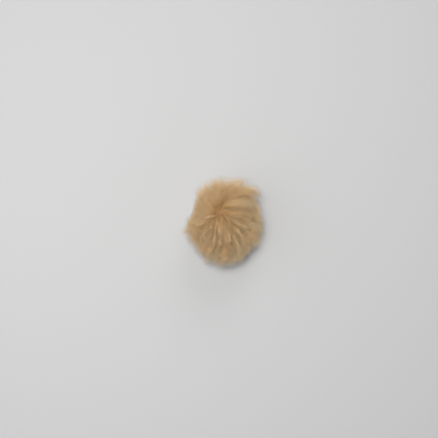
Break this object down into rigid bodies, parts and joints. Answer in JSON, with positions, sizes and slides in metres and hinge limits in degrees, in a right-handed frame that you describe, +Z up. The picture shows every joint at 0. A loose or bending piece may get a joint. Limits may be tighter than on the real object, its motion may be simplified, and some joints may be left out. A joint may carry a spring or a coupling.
{
  "type": "pom pom",
  "caption": "Soft round faux-fur pom pom in camel brown, its long pile swirling out from a whorl near the top into uneven tufts.",
  "frame": {"origin": "middle of the box's underside, on the small flat spot that the ball rests on", "axes": "+Z up from the surface that it rests on, the ball's short way; +Y along its longest way, over the tips; +X to the right when seen from above with +Y away"},
  "size_m": [0.075, 0.082, 0.07],
  "materials": {
    "faux_fur": "matt long pile with a faint sheen"
  },
  "bodies": {
    "root": {"fur_ball": "faux_fur"}
  },
  "joints": []
}
